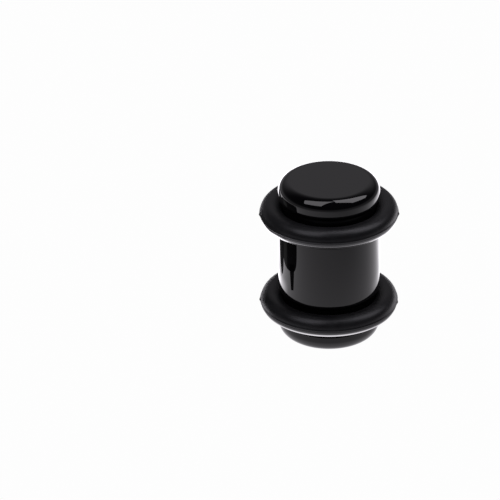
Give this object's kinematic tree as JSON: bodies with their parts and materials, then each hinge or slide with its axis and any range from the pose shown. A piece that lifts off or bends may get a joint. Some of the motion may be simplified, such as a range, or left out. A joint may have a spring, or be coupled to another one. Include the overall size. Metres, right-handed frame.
{
  "type": "ear stretching plug",
  "caption": "Straight round ear stretching plug with flat, round-rimmed end faces and a rubber ring seated in a groove near each end, which keeps it in the lobe.",
  "frame": {"origin": "middle of the lower end face, which the plug stands on", "axes": "+Z along the plug's axis, from the lower end face to the upper one"},
  "size_m": [0.0136, 0.0136, 0.0166],
  "materials": {
    "acrylic": "high polish",
    "ring_rubber": "satin, as moulded"
  },
  "bodies": {
    "root": {"plug_body": "acrylic", "upper_ring": "ring_rubber", "lower_ring": "ring_rubber"}
  },
  "joints": []
}
